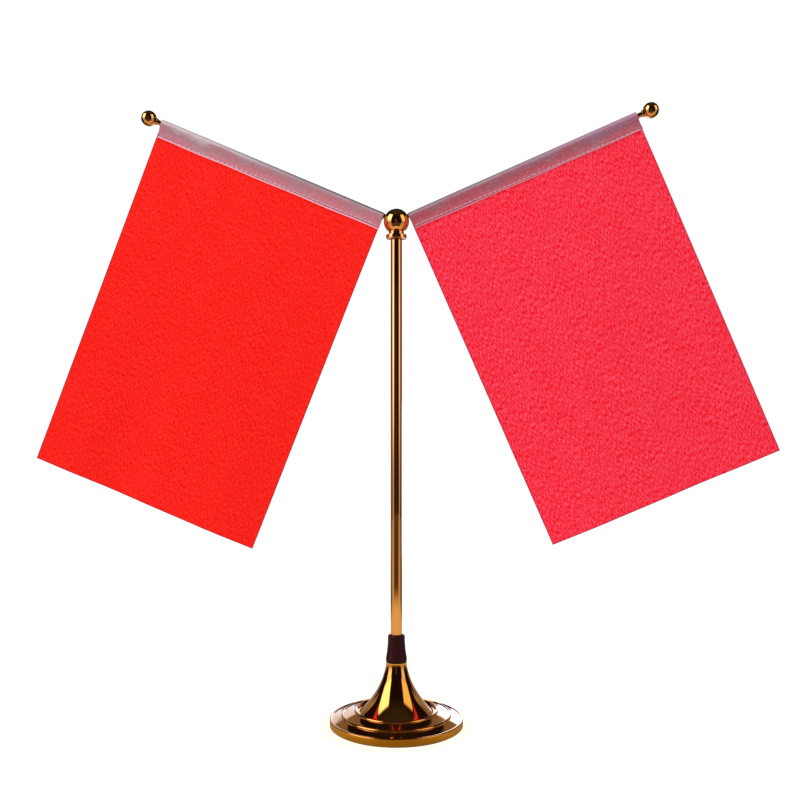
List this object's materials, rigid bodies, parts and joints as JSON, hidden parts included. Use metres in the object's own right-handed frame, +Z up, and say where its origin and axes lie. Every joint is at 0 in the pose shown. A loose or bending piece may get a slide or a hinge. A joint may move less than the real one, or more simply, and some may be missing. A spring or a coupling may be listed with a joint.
{
  "type": "desk flag stand",
  "caption": "Free-standing table stand with a stepped weighted base, an upright pole and a ball hub whose two rising rods each carry a sleeved flag.",
  "frame": {"origin": "centre of the foot pad's underside, on the table", "axes": "+Z up along the pole, +X towards the right rod with both rods in the XZ plane, +Y away from the viewer"},
  "size_m": [0.4362, 0.076, 0.3544],
  "materials": {
    "gold": "polished gold-tone plating",
    "steel": "zinc-plated",
    "iron": "as cast",
    "maroon": "moulded, semi-gloss",
    "felt": "dense felt",
    "scarlet_cloth": "smooth polyester cloth",
    "crimson_cloth": "crepe-textured polyester cloth",
    "white_satin": "thin satin",
    "thread": "polyester sewing thread"
  },
  "bodies": {
    "base": {"foot_pad": "felt", "base_weight": "iron", "base_cover": "gold", "clamp_bolt": "steel", "clamp_washer": "steel", "clamp_nut": "steel", "trumpet_column": "gold", "collar": "maroon"},
    "pole": {"pole_tube": "gold", "pole_foot_insert": "steel", "pole_top_insert": "steel"},
    "hub": {"hub_ball": "gold"},
    "left_rod": {"left_rod": "gold"},
    "left_ball": {"left_end_ball": "gold"},
    "left_flag": {"left_flag_sleeve": "white_satin", "left_flag_panel": "scarlet_cloth", "left_front_seam_thread": "thread", "left_back_seam_thread": "thread"},
    "right_rod": {"right_rod": "gold"},
    "right_ball": {"right_end_ball": "gold"},
    "right_flag": {"right_flag_sleeve": "white_satin", "right_flag_panel": "crimson_cloth", "right_front_seam_thread": "thread", "right_back_seam_thread": "thread"}
  },
  "joints": [
    {"name": "pole_turn", "type": "hinge", "parent": "base", "child": "pole", "pos_m": [0, 0, 0.039], "axis": [0, 0, 1], "continuous": true},
    {"name": "hub_turn", "type": "hinge", "parent": "pole", "child": "hub", "pos_m": [0, 0, 0.2784], "axis": [0, 0, 1], "continuous": true},
    {"name": "left_rod_pull", "type": "slide", "parent": "hub", "child": "left_rod", "axis": [-0.9198, 0, 0.3923], "range_m": [0, 0.012]},
    {"name": "left_ball_unscrew", "type": "hinge", "parent": "left_rod", "child": "left_ball", "pos_m": [0, 0, 0.28846], "axis": [-0.9198, 0, 0.3923], "continuous": true},
    {"name": "left_flag_swing", "type": "hinge", "parent": "left_rod", "child": "left_flag", "pos_m": [0, 0, 0.28846], "axis": [-0.9198, 0, 0.3923], "range_deg": [-90, 90]},
    {"name": "right_rod_pull", "type": "slide", "parent": "hub", "child": "right_rod", "axis": [0.9198, 0, 0.3923], "range_m": [0, 0.012]},
    {"name": "right_ball_unscrew", "type": "hinge", "parent": "right_rod", "child": "right_ball", "pos_m": [0, 0, 0.28846], "axis": [0.9198, 0, 0.3923], "continuous": true},
    {"name": "right_flag_swing", "type": "hinge", "parent": "right_rod", "child": "right_flag", "pos_m": [0, 0, 0.28846], "axis": [-0.9198, 0, -0.3923], "range_deg": [-90, 90]}
  ]
}
